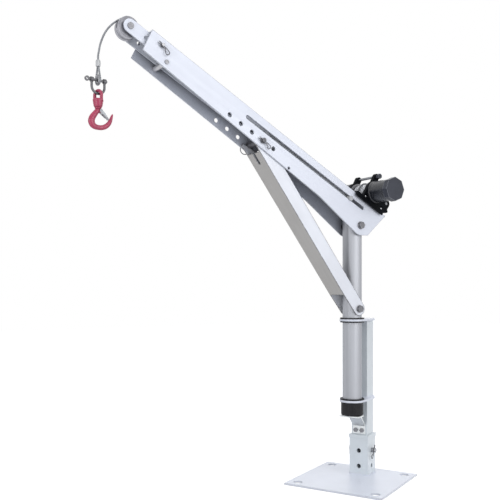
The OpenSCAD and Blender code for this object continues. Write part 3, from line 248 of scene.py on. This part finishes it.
ALONG_BOOM = dict(turn=BOOM, stretch=(0.02, 1, 1))
ALONG_BRACE = dict(turn=BRACE, stretch=(0.02, 1, 1))
UPRIGHT = dict(stretch=(1, 1, 0.012))
LENGTHWISE = dict(stretch=(1, 1, 0.1))
ROUND_Y = dict(stretch=(1, 0.05, 1))
POWDER_COAT = dict(grain=0.05, grain_scale=1400, grain_depth=0.00025)
SHEET_COAT = dict(metallic=0.1, mottle=0.02, mottle_scale=9, grain=0.08, grain_scale=700,
                  grain_depth=0.00008, specks=(0.5, 0.5, 0.53), speck_level=0.77, **ALONG_BOOM)
FINISHES = {
    "powder_white": dict(
        color=(0.80, 0.83, 0.92), rough=0.38, coat=0.25, mottle=0.02, mottle_scale=14,
        edge=(0.93, 0.94, 0.97), specks=(0.55, 0.55, 0.56), speck_level=0.76, **POWDER_COAT),
    # Base plate: the dark edge tint is painted shade on the hole walls and plate edges.
    "plate_white": dict(
        color=(0.84, 0.87, 0.96), rough=0.38, coat=0.25, mottle=0.02, mottle_scale=14,
        edge=(0.40, 0.42, 0.45), edge_radius=0.003, edge_share=0.8,
        specks=(0.55, 0.55, 0.56), speck_level=0.76, **POWDER_COAT),
    "post_grey": dict(
        color=(0.75, 0.80, 0.83), rough=0.36, coat=0.3, mottle=0.025, mottle_scale=18,
        edge=(0.70, 0.73, 0.76), edge_share=0.6, specks=(0.42, 0.43, 0.45), speck_level=0.77,
        **POWDER_COAT),
    "weld_coat": dict(
        color=(0.76, 0.79, 0.87), rough=0.4, coat=0.25, mottle=0.04, mottle_scale=150,
        grain=0.15, grain_scale=500, grain_depth=0.0005),
    # Boom: the dark edge tint is a painted outline of shade and floor reflection on the bends,
    # with bare metal at the cut edges; the hollow tint is painted shade inside the channel.
    "boom_white": dict(
        color=(0.82, 0.85, 0.94), rough=0.42, edge=(0.17, 0.18, 0.20), edge_radius=0.002,
        edge_share=1.0, hollow_shade=(0.19, 0.195, 0.215), **SHEET_COAT),
    # Jib: the dark edge tint is a painted outline of shade along its edges, with bare metal at
    # the cut edges; the light hollow tint is painted shade inside the channel.
    "jib_white": dict(
        color=(0.80, 0.83, 0.92), rough=0.42, edge=(0.30, 0.31, 0.34), edge_radius=0.0015,
        edge_share=0.8, hollow_shade=(0.70, 0.72, 0.75), **SHEET_COAT),
    # Brace: the darker web against its lighter side plates, of one bent sheet, is painted light
    # and shade; the dark edge tint is painted shade along the bends, and the hollow tint is
    # painted shade inside.
    "brace_grey": dict(
        color=(0.48, 0.465, 0.445), rough=0.4, metallic=0.2, mottle=0.04, mottle_scale=8,
        grain=0.16, grain_scale=600, grain_depth=0.0001, edge=(0.10, 0.10, 0.11),
        edge_radius=0.004, edge_share=1.0, sides=(0.79, 0.81, 0.87),
        hollow_shade=(0.60, 0.60, 0.605), specks=(0.32, 0.32, 0.33), speck_level=0.76,
        **ALONG_BRACE),
    # Mast: the strong upright banded mottling is painted reflection bands as well as drawn-tube
    # tone, and the lighter edge tint is a painted highlight.
    "mast_satin": dict(
        color=(0.42, 0.43, 0.46), rough=0.42, rough_spread=0.07, metallic=0.5, anisotropy=0.5,
        mottle=0.2, mottle_scale=32, bands=True, grain=0.2, grain_scale=330,
        grain_depth=0.00006, strength=0.25, edge=(0.62, 0.62, 0.62), **UPRIGHT),
    "black_nylon": dict(
        color=(0.011, 0.011, 0.013), rough=0.52, specular=0.25, mottle=0.18, mottle_scale=60,
        grain=0.2, grain_scale=2200, grain_depth=0.00015, edge=(0.09, 0.09, 0.1),
        specks=(0.06, 0.06, 0.065)),
    "white_nylon": dict(
        color=(0.84, 0.84, 0.83), rough=0.45, mottle=0.03, mottle_scale=200, grain=0.08,
        grain_scale=2500),
    "bracket_zinc": dict(
        color=(0.76, 0.785, 0.79), rough=0.36, metallic=0.5, mottle=0.07, mottle_scale=70,
        grain=0.2, grain_scale=500, edge=(0.9, 0.9, 0.9), specks=(0.4, 0.4, 0.42)),
    "zinc_steel": dict(
        color=(0.36, 0.365, 0.385), rough=0.3, metallic=0.9, mottle=0.1, mottle_scale=120,
        grain=0.4, edge=(0.7, 0.7, 0.71), thread=(0.00175, -0.045, 1)),
    "pale_zinc": dict(
        color=(0.50, 0.51, 0.53), rough=0.4, metallic=0.4, mottle=0.05, mottle_scale=150,
        grain=0.2, grain_scale=1400, edge=(0.5, 0.5, 0.52), edge_radius=0.0006),
    "bolt_steel": dict(
        color=(0.20, 0.20, 0.215), rough=0.28, metallic=0.85, mottle=0.1, mottle_scale=120,
        grain=0.4, edge=(0.7, 0.7, 0.71)),
    "forged_grey": dict(
        color=(0.13, 0.13, 0.14), rough=0.35, metallic=0.7, mottle=0.1, mottle_scale=90,
        grain=0.2, grain_scale=1500, edge=(0.35, 0.35, 0.37), edge_radius=0.0005),
    "dark_steel": dict(
        color=(0.11, 0.11, 0.12), rough=0.4, metallic=0.6, mottle=0.1, mottle_scale=90,
        grain=0.3, **ROUND_Y),
    "rod_steel": dict(
        color=(0.26, 0.27, 0.29), rough=0.3, metallic=0.8, mottle=0.1, mottle_scale=90,
        grain=0.3, **ROUND_Y),
    "spring_steel": dict(
        color=(0.12, 0.12, 0.13), rough=0.25, metallic=0.9, mottle=0.12, mottle_scale=200,
        grain=0.4, grain_scale=1500),
    "roller_grey": dict(
        color=(0.60, 0.60, 0.62), rough=0.33, metallic=0.6, mottle=0.06, mottle_scale=90,
        grain=0.5, grain_scale=700, **ROUND_Y),
    # Sheave: its darker side faces are partly painted shade under the jib plates and partly a
    # darker face colour.
    "sheave_grey": dict(
        color=(0.50, 0.50, 0.54), rough=0.36, metallic=0.35, mottle=0.04, mottle_scale=60,
        grain=0.3, grain_scale=500, stretch=(1, 0.04, 1), edge=(0.62, 0.62, 0.65),
        sides=(0.24, 0.24, 0.265)),
    "drum_steel": dict(
        color=(0.22, 0.22, 0.235), rough=0.38, metallic=0.7, mottle=0.1, mottle_scale=80,
        grain=0.4, grain_scale=500, edge=(0.6, 0.6, 0.62), **ROUND_Y),
    "winch_black": dict(
        color=(0.016, 0.018, 0.023), rough=0.34, specular=0.3, coat=0.1, mottle=0.15,
        mottle_scale=45, grain=0.12, grain_scale=1300, grain_depth=0.0003,
        edge=(0.16, 0.165, 0.19), edge_share=0.6, specks=(0.07, 0.07, 0.08)),
    "support_black": dict(
        color=(0.006, 0.007, 0.009), rough=0.5, specular=0.04, mottle=0.2, mottle_scale=45,
        grain=0.15, grain_scale=1500, edge=(0.05, 0.053, 0.06), specks=(0.02, 0.02, 0.024)),
    "can_black": dict(
        color=(0.020, 0.022, 0.028), rough=0.3, specular=0.4, coat=0.35, mottle=0.15,
        mottle_scale=45, grain=0.12, grain_scale=1300, grain_depth=0.0004,
        edge=(0.16, 0.165, 0.19), edge_share=0.6, specks=(0.07, 0.07, 0.08),
        thread=(0.0045, 0.067, 1)),
    # Motor cap: the pale edge tint is a painted highlight along its chamfered edges.
    "cap_black": dict(
        color=(0.05, 0.054, 0.07), rough=0.42, specular=0.25, mottle=0.1, mottle_scale=50,
        grain=0.2, grain_scale=2000, grain_depth=0.00025, edge=(0.42, 0.43, 0.48),
        edge_radius=0.0022, edge_share=0.9),
    "bronze": dict(
        color=(0.55, 0.36, 0.16), rough=0.4, metallic=0.9, mottle=0.12, mottle_scale=150,
        grain=0.3),
    "copper": dict(
        color=(0.6, 0.3, 0.16), rough=0.35, metallic=0.9, mottle=0.15, mottle_scale=300,
        grain=0.4, stretch=(1, 0.1, 1)),
    "wire_rope": dict(
        color=(0.30, 0.31, 0.33), rough=0.36, metallic=0.75, mottle=0.2, mottle_scale=260,
        grain=0.5, grain_scale=2600),
    # The winding is the same wire rope as the run, made lighter and strongly mottled as painted
    # highlights.
    "wound_rope": dict(
        color=(0.62, 0.63, 0.66), rough=0.3, metallic=0.6, mottle=0.3, mottle_scale=90,
        grain=0.5, grain_scale=2600),
    "ferrule_alu": dict(
        color=(0.50, 0.51, 0.52), rough=0.34, metallic=0.3, mottle=0.05, mottle_scale=200,
        grain=0.3, grain_scale=1200, **LENGTHWISE),
    "latch_plate": dict(
        color=(0.46, 0.48, 0.50), rough=0.4, metallic=0.2, specular=0.3, mottle=0.04,
        mottle_scale=120, grain=0.2, grain_scale=1800, edge=(0.25, 0.25, 0.27),
        edge_radius=0.0005, **LENGTHWISE),
    "hook_red": dict(
        color=(0.44, 0.035, 0.10), rough=0.36, coat=0.3, mottle_scale=110, grain=0.15,
        grain_scale=1500, grain_depth=0.0003, edge=(0.62, 0.15, 0.22), edge_radius=0.0012,
        specks=(0.25, 0.03, 0.06), speck_scale=420),
}
finishes = {name: finish_of(name, **look) for name, look in FINISHES.items()}


def dress(piece, finish):
    """Give a piece its finish."""
    piece.data.materials.clear()
    piece.data.materials.append(finishes[finish])
    return piece


# Finishes and rounded edges of the CAD pieces
OWN_FINISH = {
    "plate_white": ("base_plate",),
    "jib_white": ("jib_channel",),
    "support_black": ("winch_foot", "motor_support", "gear_support"),
    "can_black": ("motor_can",),
    "rod_steel": ("tie_bars",),
    "dark_steel": ("pin_sleeve", "brace_pin"),
    "bolt_steel": ("bracket_bolts", "boom_pivot_bolt", "brace_pivot_bolt", "sheave_axle",
                   "roller_bolt"),
    "forged_grey": ("shackle_pin", "shackle_bow", "brace_pin_ring"),
    "latch_plate": ("latch", "latch_pin"),
    "pale_zinc": ("jib_guide_bolt",),
}
ROUNDED = {     # width of the rounded edge in millimetres, and the nodes that have it
    0.25: ("latch",),
    0.4: ("sheave", "jib_guide_rollers"),
    0.5: ("mast_bushes", "bracket_bolts", "roller_bolt", "support_roller", "ferrule",
          "shackle_pin", "jib_guide_bolt"),
    0.6: ("mast_foot_cup", "tie_bars", "drum", "shackle_bow"),
    0.7: ("pivot_nuts", "sheave_axle"),
    0.8: ("boom_pivot_bolt", "brace_pivot_bolt", "jib_lock_pin", "brace_pin", "clutch_knob",
          "receiver_pin"),
    1.0: ("gearbox_cover", "hook_eye"),
    1.2: ("motor_can",),
    1.5: ("gearbox_housing",),
    2.0: ("motor_end_cap",),
}
SAME_POINT = 0.00002     # metres
EDGE_ANGLE = math.radians(38)


def soften(node, width):
    """Rounded edges on a CAD node, by modifiers alone."""
    piece = frame["nodes"][node]
    weld = piece.modifiers.new("weld", "WELD")
    weld.merge_threshold = SAME_POINT
    bevel = piece.modifiers.new("rounded", "BEVEL")
    bevel.width = width * MM
    bevel.segments = 2
    bevel.limit_method = "ANGLE"
    bevel.angle_limit = EDGE_ANGLE
    bevel.use_clamp_overlap = True
    normal = piece.modifiers.new("normals", "WEIGHTED_NORMAL")
    normal.weight = 90
    normal.keep_sharp = False


own_finish = {node: finish for finish, nodes in OWN_FINISH.items() for node in nodes}
slots = {row["node"]: row["material_slot"] for row in frame["record"]["subparts"]}
for node, piece in frame["nodes"].items():
    dress(piece, own_finish.get(node, slots[node]))
for width, nodes in ROUNDED.items():
    for node in nodes:
        soften(node, width)


# Mesh tools
def add_mesh(name, points, faces, smooth=True):
    mesh = bpy.data.meshes.new(name)
    mesh.from_pydata([tuple(p) for p in points], [], faces)
    bm = bmesh.new()
    bm.from_mesh(mesh)
    bmesh.ops.recalc_face_normals(bm, faces=bm.faces)
    bm.to_mesh(mesh)
    bm.free()
    mesh.polygons.foreach_set("use_smooth", [smooth] * len(mesh.polygons))
    piece = bpy.data.objects.new(name, mesh)
    bpy.context.collection.objects.link(piece)
    return piece


def join_parts(name, parts, smooth=True):
    """One piece of several (points, faces)."""
    points, faces = [], []
    for some_points, some_faces in parts:
        base = len(points)
        points += some_points
        faces += [tuple(base + i for i in f) for f in some_faces]
    return add_mesh(name, points, faces, smooth)


def lofted(rings):
    """(points, faces) of a closed solid through rings of equally many points."""
    sides = len(rings[0])
    points = [p for ring in rings for p in ring]
    faces = []
    for i in range(len(rings) - 1):
        for k in range(sides):
            a, b = i * sides + k, i * sides + (k + 1) % sides
            faces.append((a, b, b + sides, a + sides))
    last = len(points) - sides
    faces += [tuple(range(sides))[::-1], tuple(range(last, last + sides))]
    return points, faces


def even(points, step):
    """Points on a line of points, evenly spaced by about a step."""
    total = sum((points[i + 1] - points[i]).length for i in range(len(points) - 1))
    count = max(2, round(total / step))
    gap, out, done, i = total / count, [points[0].copy()], 0.0, 0
    for k in range(1, count):
        want = gap * k
        while done + (points[i + 1] - points[i]).length < want:
            done += (points[i + 1] - points[i]).length
            i += 1
        edge = points[i + 1] - points[i]
        out.append(points[i] + edge * ((want - done) / edge.length))
    return out + [points[-1].copy()]


def spline(points, step):
    """Evenly spaced points on a smooth curve through the given ones."""
    finer = 4
    p = [Vector(q) for q in points]
    ends = [2 * p[0] - p[1]] + p + [2 * p[-1] - p[-2]]
    fine = []
    for i in range(len(p) - 1):
        a, b, c, d = ends[i:i + 4]
        count = max(finer, int((c - b).length / step * finer))
        for k in range(count):
            t = k / count
            fine.append(0.5 * (2 * b + (c - a) * t + (2 * a - 5 * b + 4 * c - d) * t * t
                               + (3 * b - a - 3 * c + d) * t ** 3))
    fine.append(p[-1])
    return even(fine, step)


def frames(path, side):
    """(side, up) at each point of a path, with the side carried along without a twist."""
    out, s = [], Vector(side)
    for i in range(len(path)):
        along = (path[min(i + 1, len(path) - 1)] - path[max(i - 1, 0)]).normalized()
        s = (s - along * s.dot(along)).normalized()
        out.append((s.copy(), along.cross(s)))
    return out


def tube_parts(path, radii, side, sides, flat=1.0):
    """A tube along a path, flat times as wide along its side as across it."""
    turns = [math.tau * k / sides for k in range(sides)]
    return lofted([[p + r * (flat * math.cos(turn) * s + math.sin(turn) * u) for turn in turns]
                   for p, r, (s, u) in zip(path, radii, frames(path, side))])


def turned_parts(outline, at, sides, axis="z"):
    """A solid of revolution from (radius, height) points round a Z or Y axis, in millimetres."""
    rings = []
    for radius, height in outline:
        ring = []
        for k in range(sides):
            t = math.tau * k / sides
            v = Vector((radius * math.cos(t), radius * math.sin(t), height))
            if axis == "y":
                v = Vector((v.x, v.z, v.y))
            ring.append((Vector(at) + v) * MM)
        rings.append(ring)
    return lofted(rings)


def wire_parts(points, radius, side, step, sides, flat=1.0):
    """A round or flattened wire on a smooth curve, in millimetres."""
    path = [p * MM for p in spline(points, step)]
    return tube_parts(path, [radius * MM] * len(path), side, sides, flat)


# Wire rope, from the drum over the sheave to the ferrule
STRANDS = 6
LAY = 6.5 * ROPE_D                      # length of one turn of a strand
STRAND_SWELL, CORE_SWELL = 1.04, 1.3    # so that no gap shows between strands and core
ALONG_Y = (0, 1, 0)


def rope(name, points, side=ALONG_Y, step=1.6, sides=6, smooth=True):
    """Six strands laid round a core, along a path in millimetres."""
    path = spline(points, step) if smooth else even([Vector(p) for p in points], step)
    path = [p * MM for p in path]
    strand_r, lay = ROPE_D * MM / 6, LAY * MM
    marks, run = frames(path, side), [0.0]
    for i in range(1, len(path)):
        run.append(run[-1] + (path[i] - path[i - 1]).length)
    parts = []
    for k in range(STRANDS):
        line = []
        for p, (s, u), d in zip(path, marks, run):
            turn = math.tau * (d / lay + k / STRANDS)
            line.append(p + 2 * strand_r * (math.cos(turn) * s + math.sin(turn) * u))
        parts.append(tube_parts(line, [strand_r * STRAND_SWELL] * len(line), side, sides))
    parts.append(tube_parts(path, [strand_r * CORE_SWELL] * len(path), side, 6))
    return join_parts(name, parts)


RUN_R, TURN_R = 30.0, 26.0      # the rope's middle round the drum's outer layer and the sheave
RUN_WRAP = math.radians(280)    # how far the last turn lies on the drum
WRAP_STEPS, RUN_STEPS, BEND_STEPS = 60, 40, 24
slope = math.asin((RUN_R + TURN_R) / math.hypot(SHEAVE_A - DRUM_A, DRUM_UP - SHEAVE_UP)) \
    - math.atan2(DRUM_UP - SHEAVE_UP, SHEAVE_A - DRUM_A)


def round_drum(turn):
    return at_boom(DRUM_A + RUN_R * math.cos(turn), 0, DRUM_UP + RUN_R * math.sin(turn)) / MM


def round_sheave(turn):
    return at_boom(SHEAVE_A + TURN_R * math.cos(turn), 0,
                   SHEAVE_UP + TURN_R * math.sin(turn)) / MM


last_turn = [round_drum(slope - math.pi / 2 - RUN_WRAP * i / WRAP_STEPS)
             for i in range(WRAP_STEPS, -1, -1)]
to_sheave = round_sheave(slope + math.pi / 2)
straight = [last_turn[-1].lerp(to_sheave, i / RUN_STEPS) for i in range(1, RUN_STEPS + 1)]
rope_run = rope("rope_run_strands", last_turn + straight, smooth=False)
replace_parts(dress(rope_run, "wire_rope"), "rope_run")
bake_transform(rope_run)

# The bend starts where the run ends, a little further on, and ends where the line leaves
bend_first, bend_last = math.radians(89.6) + slope, math.radians(52.6) - BOOM
over = [round_sheave(bend_first + (bend_last - bend_first) * i / BEND_STEPS)
        for i in range(BEND_STEPS + 1)]
rope_bend = rope("rope_bend_strands", over, step=1.2, smooth=False)
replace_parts(dress(rope_bend, "wire_rope"), "rope_bend")
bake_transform(rope_bend)

# (x, z) of the drop from the sheave's axle, as it curves down to the ferrule
DROP = ((28, 12), (39, 2), (49, -10), (57, -23), (63, -37), (68, -52), (71, -67), (73, -79))
INTO_FERRULE = 14
axle = at_boom(SHEAVE_A, 0, SHEAVE_UP) / MM
drop = [over[-1]] + [axle + Vector((x, 0, z)) for x, z in DROP]
drop.append(Vector((HOOK_X, 0, FERRULE_LOW + INTO_FERRULE)))
rope_drop = rope("rope_drop_strands", drop, step=1.2)
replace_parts(dress(rope_drop, "wire_rope"), "rope_drop")
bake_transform(rope_drop)

PITCH, TURNS, WOUND_R, TURN_STEPS = 5.6, 9, 24.5, 48     # the winding on the drum
winding = []
for i in range(TURNS * TURN_STEPS + 1):
    turn = math.tau * i / TURN_STEPS
    winding.append(at_boom(DRUM_A + WOUND_R * math.sin(turn),
                           (i / TURN_STEPS - TURNS / 2) * PITCH,
                           DRUM_UP - WOUND_R * math.cos(turn)) / MM)
wound = rope("rope_winding_strands", winding, step=2.2, sides=5, smooth=False)
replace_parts(dress(wound, "wound_rope"), "rope_winding")
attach(wound, "winch_drum")


# Rope eye and thimble round the shackle pin
GAP = 0.3


def eye_loop(half, low, high, r):
    """A loop that hangs from high to low and is twice half wide, of a wire of radius r."""
    flat = [(r + GAP, high), (r + GAP, high - r)]
    flat += [(half * math.cos(math.radians(t)), low + half - half * math.sin(math.radians(t)))
             for t in range(-30, 211, 12)]
    flat += [(-r - GAP, high - r), (-r - GAP, high)]
    return [Vector((HOOK_X + x * math.cos(EYE_YAW), x * math.sin(EYE_YAW), z)) for x, z in flat]


loop_side = (-math.sin(EYE_YAW), math.cos(EYE_YAW), 0)
EYE_HALF, THIMBLE_HALF, THIMBLE_R = 11, 6.3, 2
thimble_low = SHACKLE_Z - SHACKLE_PIN_R - GAP - THIMBLE_R
thimble_high = FERRULE_LOW - 20
eye_low, eye_high = thimble_low - 4.7, FERRULE_LOW - 0.1
rope_eye = rope("rope_eye_strands", eye_loop(EYE_HALF, eye_low, eye_high, ROPE_D / 2),
                loop_side, step=1.2)
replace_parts(dress(rope_eye, "wire_rope"), "rope_eye")
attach(rope_eye, "rope_end")
thimble = join_parts("thimble_smooth", [
    wire_parts(eye_loop(THIMBLE_HALF, thimble_low, thimble_high, THIMBLE_R), THIMBLE_R,
               loop_side, step=1.5, sides=14, flat=1.25)])
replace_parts(dress(thimble, "zinc_steel"), "thimble")
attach(thimble, "rope_end")

# Spring clips of the hitch pins
CLIP_R, CLIP_STEP, CLIP_SIDES = 1.1, 0.8, 12
CLIP_Y = 43.5
CLIP_EYE_R = 5.5


def clip_path(pin, turn):
    """Middle line of a clip on a pin of this radius, turned by degrees in its own plane."""
    leg, hump, lift = pin + 9, pin + 1.6, 3.0
    flat = [(-leg, 0), (-pin, 0), (pin, 0), (leg, 0)]
    flat += [(leg + 7 + CLIP_EYE_R * math.cos(math.radians(t)),
              CLIP_EYE_R + CLIP_EYE_R * math.sin(math.radians(t))) for t in range(-60, 151, 15)]
    flat += [(leg - 1, lift + 1), (pin + 3, lift), (0.6 * pin, 0.8 * hump), (0, hump),
             (-0.6 * pin, 0.8 * hump), (-pin - 3, lift), (-pin - 8, lift + 2)]
    c, s = math.cos(math.radians(turn)), math.sin(math.radians(turn))
    return [(x * c + z * s, z * c - x * s) for x, z in flat]


BOOM_CLIPS = ((760, 56.5, 4.0, 170), (404, 21.3, 6.15, 178))     # (a, up, pin radius, turn)
clip_parts = []
for a, up, pin, turn in BOOM_CLIPS:
    path = [at_boom(a + x, CLIP_Y, up + z) / MM for x, z in clip_path(pin, turn)]
    clip_parts.append(wire_parts(path, CLIP_R, ALONG_Y, CLIP_STEP, CLIP_SIDES))
clips = join_parts("pin_clips_wire", clip_parts)
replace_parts(dress(clips, "spring_steel"), "pin_clips")
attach(clips, "boom")

RECEIVER_CLIP_X = RECEIVER_HALF + 8.5
RECEIVER_PIN_Z, RECEIVER_PIN_R = 78, 6.9
RECEIVER_CLIP_TURN = 60
path = [at_base(RECEIVER_CLIP_X, POST_Y - x, RECEIVER_PIN_Z + z) / MM
        for x, z in clip_path(RECEIVER_PIN_R, RECEIVER_CLIP_TURN)]
receiver_clip = join_parts("receiver_clip_wire", [
    wire_parts(path, CLIP_R, at_base(1, 0, 0).normalized(), CLIP_STEP, CLIP_SIDES)])
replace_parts(dress(receiver_clip, "spring_steel"), "receiver_clip")
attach(receiver_clip, "base")

# Forged hook: (x, z, radius) along its middle line from the swivel, in millimetres
HOOK = [(0, -2.5, 5.5), (0.4, -4, 5.5), (2, -8, 6), (8, -16, 6.8), (14, -25, 7.8),
        (16.5, -34, 8.3), (14, -42, 7.8), (8, -46.5, 6.8), (0, -48, 6), (-9, -47.5, 6),
        (-18, -44, 6), (-26, -37, 5.6), (-31, -28, 4.6), (-34, -19, 3.2), (-36, -13, 1.8)]
# (radius, height) outlines of the shank's collar and nut, and of the boss at the latch's pin
SHANK = [(5, -3.6), (7.2, -3.6), (7.9, -3.1), (8, -2), (8, -0.9), (7.4, -0.3), (5, -0.3),
         (5, 8.3), (7.6, 8.3), (7.6, 12.3), (1, 12.3)]
LATCH_BOSS = [(1.4, -5.4), (2.7, -5.4), (3.2, -4.9), (3.2, 4.9), (2.7, 5.4), (1.4, 5.4)]
TIP = Vector((-0.35, 0, 1.2))
TIP_R = 0.9
marks = [Vector((x, 0, z)) for x, z, _ in HOOK]


def radius_at(p):
    """Radius between the two nearest marks of the hook's path."""
    best = min(range(len(marks) - 1), key=lambda i: (p - marks[i]).length
               + (p - marks[i + 1]).length - (marks[i + 1] - marks[i]).length)
    a, b = marks[best], marks[best + 1]
    t = min(1, max(0, (p - a).dot(b - a) / (b - a).length_squared))
    return HOOK[best][2] * (1 - t) + HOOK[best + 1][2] * t


centre = spline(marks, 1.6)
swivel = Vector((HOOK_X, 0, SWIVEL_Z))
shape = [(swivel + p) * MM for p in centre]
shape.append(shape[-1] + TIP * MM)
radii = [radius_at(p) * MM for p in centre] + [TIP_R * MM]
hook = join_parts("hook_forging", [
    tube_parts(shape, radii, ALONG_Y, 28, flat=0.85),
    turned_parts(SHANK, swivel, 40),
    turned_parts(LATCH_BOSS, (LATCH_X, 0, LATCH_Z), 28, "y"),
])
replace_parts(dress(hook, "hook_red"), "hook_body")
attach(hook, "hook")


# Weld beads, a rippled fillet round each joint of tube and plate
CORNER_STEPS = 6
BEAD_OUT = 0.3      # how far a bead's middle stands out of the tube's face, in its own radii


def bead(name, half, z, r, corner):
    """A bead of radius r round a square tube on the post's axis, in millimetres."""
    path = []
    reach = corner + r * BEAD_OUT
    for quarter, (sx, sy) in enumerate(((1, 1), (-1, 1), (-1, -1), (1, -1))):
        for k in range(CORNER_STEPS + 1):
            t = math.radians(90 * quarter + 90 / CORNER_STEPS * k)
            path.append(Vector((sx * (half - corner) + reach * math.cos(t),
                                sy * (half - corner) + reach * math.sin(t), z)))
    path.append(path[0].copy())
    line = even(path, 0.9)
    radii = [r * (1 + 0.14 * math.sin(i * 1.9) + 0.06 * math.sin(i * 0.37)) * MM
             for i in range(len(line))]
    line = [at_base(p.x, p.y + POST_Y, p.z) for p in line]
    piece = join_parts(name, [tube_parts(line, radii, (0, 0, 1), 10)])
    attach(dress(piece, "weld_coat"), "base")


bead("weld_receiver", RECEIVER_HALF, 5.6, 2.0, 2.5)
bead("weld_lower_ring", POST_HALF, 242.1, 1.7, 3)
bead("weld_lower_ring_under", POST_HALF, 235.1, 1.7, 3)
bead("weld_post_top", POST_HALF, 475.4, 1.7, 3)

# Socket screws of the winch's foot, and the nuts of the inner ones under the boom's top
FOOT_TOP = 79.3
SCREW_SIDES, NUT_SIDES = 30, 6
CHAMFER = 0.6
HEAD_R, SOCKET_SHARE = 5, 0.52
NUT_R, NUT_H = 5, 6


def boom_ring(a, y, up, radius, sides, offset=0.0, hexagon=False):
    """Points round an upright axis of the boom, on a circle or on a hexagon."""
    ring = []
    for k in range(sides):
        t = math.tau * (k + offset) / sides
        reach = radius
        if hexagon:
            reach = radius * math.cos(math.pi / 6) / math.cos(t % (math.pi / 3) - math.pi / 6)
        ring.append(at_boom(a + reach * math.cos(t), y + reach * math.sin(t), up))
    return ring


def screw_parts(a, y, head_h, r, low):
    """A cap screw with a hexagon socket that reaches down to low."""
    top, socket = FOOT_TOP + head_h, HEAD_R * SOCKET_SHARE
    rows = [(r, low), (r, FOOT_TOP), (HEAD_R, FOOT_TOP), (HEAD_R, top - CHAMFER),
            (HEAD_R - CHAMFER, top)]
    rings = [boom_ring(a, y, up, radius, SCREW_SIDES, 0.5) for radius, up in rows]
    rings += [boom_ring(a, y, up, socket, SCREW_SIDES, 0.5, hexagon=True)
              for up in (top, top - head_h * 0.6)]
    return lofted(rings)


def nut_parts(a, y, low):
    rows = ((NUT_R - CHAMFER, low), (NUT_R, low + CHAMFER), (NUT_R, low + NUT_H))
    return lofted([boom_ring(a, y, up, radius, NUT_SIDES) for radius, up in rows])


INNER_Y, OUTER_Y = 21, 41.3
parts = []
for side in (-1, 1):
    for a in (26, -42):
        parts.append(screw_parts(a, INNER_Y * side, head_h=3.5, r=3, low=63))
        parts.append(nut_parts(a, INNER_Y * side, low=65))
    for a in (27.5, -40):
        parts.append(screw_parts(a, OUTER_Y * side, head_h=5, r=2.5, low=71))
screws = join_parts("foot_screw_heads", parts, smooth=False)
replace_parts(dress(screws, "zinc_steel"), "foot_screws")
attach(screws, "boom")


# Studio: white backdrop to the camera and to reflections, plain soft lamps on the object
def empty_tree(owner):
    owner.use_nodes = True
    owner.node_tree.nodes.clear()
    return owner.node_tree


def math_node(tree, operation, a, b):
    node = tree.nodes.new("ShaderNodeMath")
    node.operation = operation
    tree.links.new(a, node.inputs[0])
    if isinstance(b, bpy.types.NodeSocket):
        tree.links.new(b, node.inputs[1])
    else:
        node.inputs[1].default_value = b
    return node.outputs[0]


def seen(tree):
    """One for camera, glossy and transmission rays."""
    rays = tree.nodes.new("ShaderNodeLightPath").outputs
    total = rays["Is Camera Ray"]
    for name in ("Is Glossy Ray", "Is Transmission Ray"):
        total = math_node(tree, "MAXIMUM", total, rays[name])
    return total


def background(tree, color, strength):
    node = tree.nodes.new("ShaderNodeBackground")
    node.inputs["Color"].default_value = color
    node.inputs["Strength"].default_value = strength
    return node.outputs[0]


world = bpy.data.worlds.new("studio")
bpy.context.scene.world = world
tree = empty_tree(world)
mixed = tree.nodes.new("ShaderNodeMixShader")
tree.links.new(seen(tree), mixed.inputs[0])
tree.links.new(background(tree, (0.92, 0.95, 1, 1), 0.50), mixed.inputs[1])
tree.links.new(background(tree, (1, 1, 1, 1), 1.0), mixed.inputs[2])
out = tree.nodes.new("ShaderNodeOutputWorld")
tree.links.new(mixed.outputs[0], out.inputs[0])

FLOOR_HALF, FLOOR_Z = 8, -0.0006
FLOOR_GLOW = 0.82
corners = [(x * FLOOR_HALF, y * FLOOR_HALF, FLOOR_Z)
           for x, y in ((-1, -1), (1, -1), (1, 1), (-1, 1))]
floor = add_mesh("floor", corners, [(0, 1, 2, 3)], smooth=False)
floor_mat = bpy.data.materials.new("floor")
tree = empty_tree(floor_mat)
paper = tree.nodes.new("ShaderNodeBsdfDiffuse")
paper.inputs["Color"].default_value = (0.5, 0.5, 0.51, 1)
glow = tree.nodes.new("ShaderNodeEmission")
tree.links.new(math_node(tree, "MULTIPLY", seen(tree), FLOOR_GLOW), glow.inputs["Strength"])
both = tree.nodes.new("ShaderNodeAddShader")
tree.links.new(paper.outputs[0], both.inputs[0])
tree.links.new(glow.outputs[0], both.inputs[1])
out = tree.nodes.new("ShaderNodeOutputMaterial")
tree.links.new(both.outputs[0], out.inputs[0])
floor.data.materials.append(floor_mat)


def lamp(name, at, aim, size, power, color=(1, 1, 1)):
    light = bpy.data.lights.new(name, "AREA")
    light.shape = "RECTANGLE"
    light.size, light.size_y = size
    light.energy = power
    light.color = color
    piece = bpy.data.objects.new(name, light)
    bpy.context.collection.objects.link(piece)
    piece.location = at
    piece.rotation_euler = (Vector(aim) - Vector(at)).to_track_quat("-Z", "Y").to_euler()


lamp("key", (-0.9, 4.4, 1.6), (0.3, 0, 0.6), (3.4, 3.0), 72)
lamp("top", (0.4, 0.2, 4.6), (0.3, 0, 0.5), (3.0, 3.0), 46)
lamp("side", (2.6, 0.8, 1.0), (0.2, 0, 0.7), (1.4, 1.8), 15, (0.97, 0.98, 1))
lamp("back", (-2.0, -1.8, 2.0), (0.2, 0, 0.7), (1.6, 1.6), 9)
bpy.context.scene.view_settings.view_transform = "Standard"
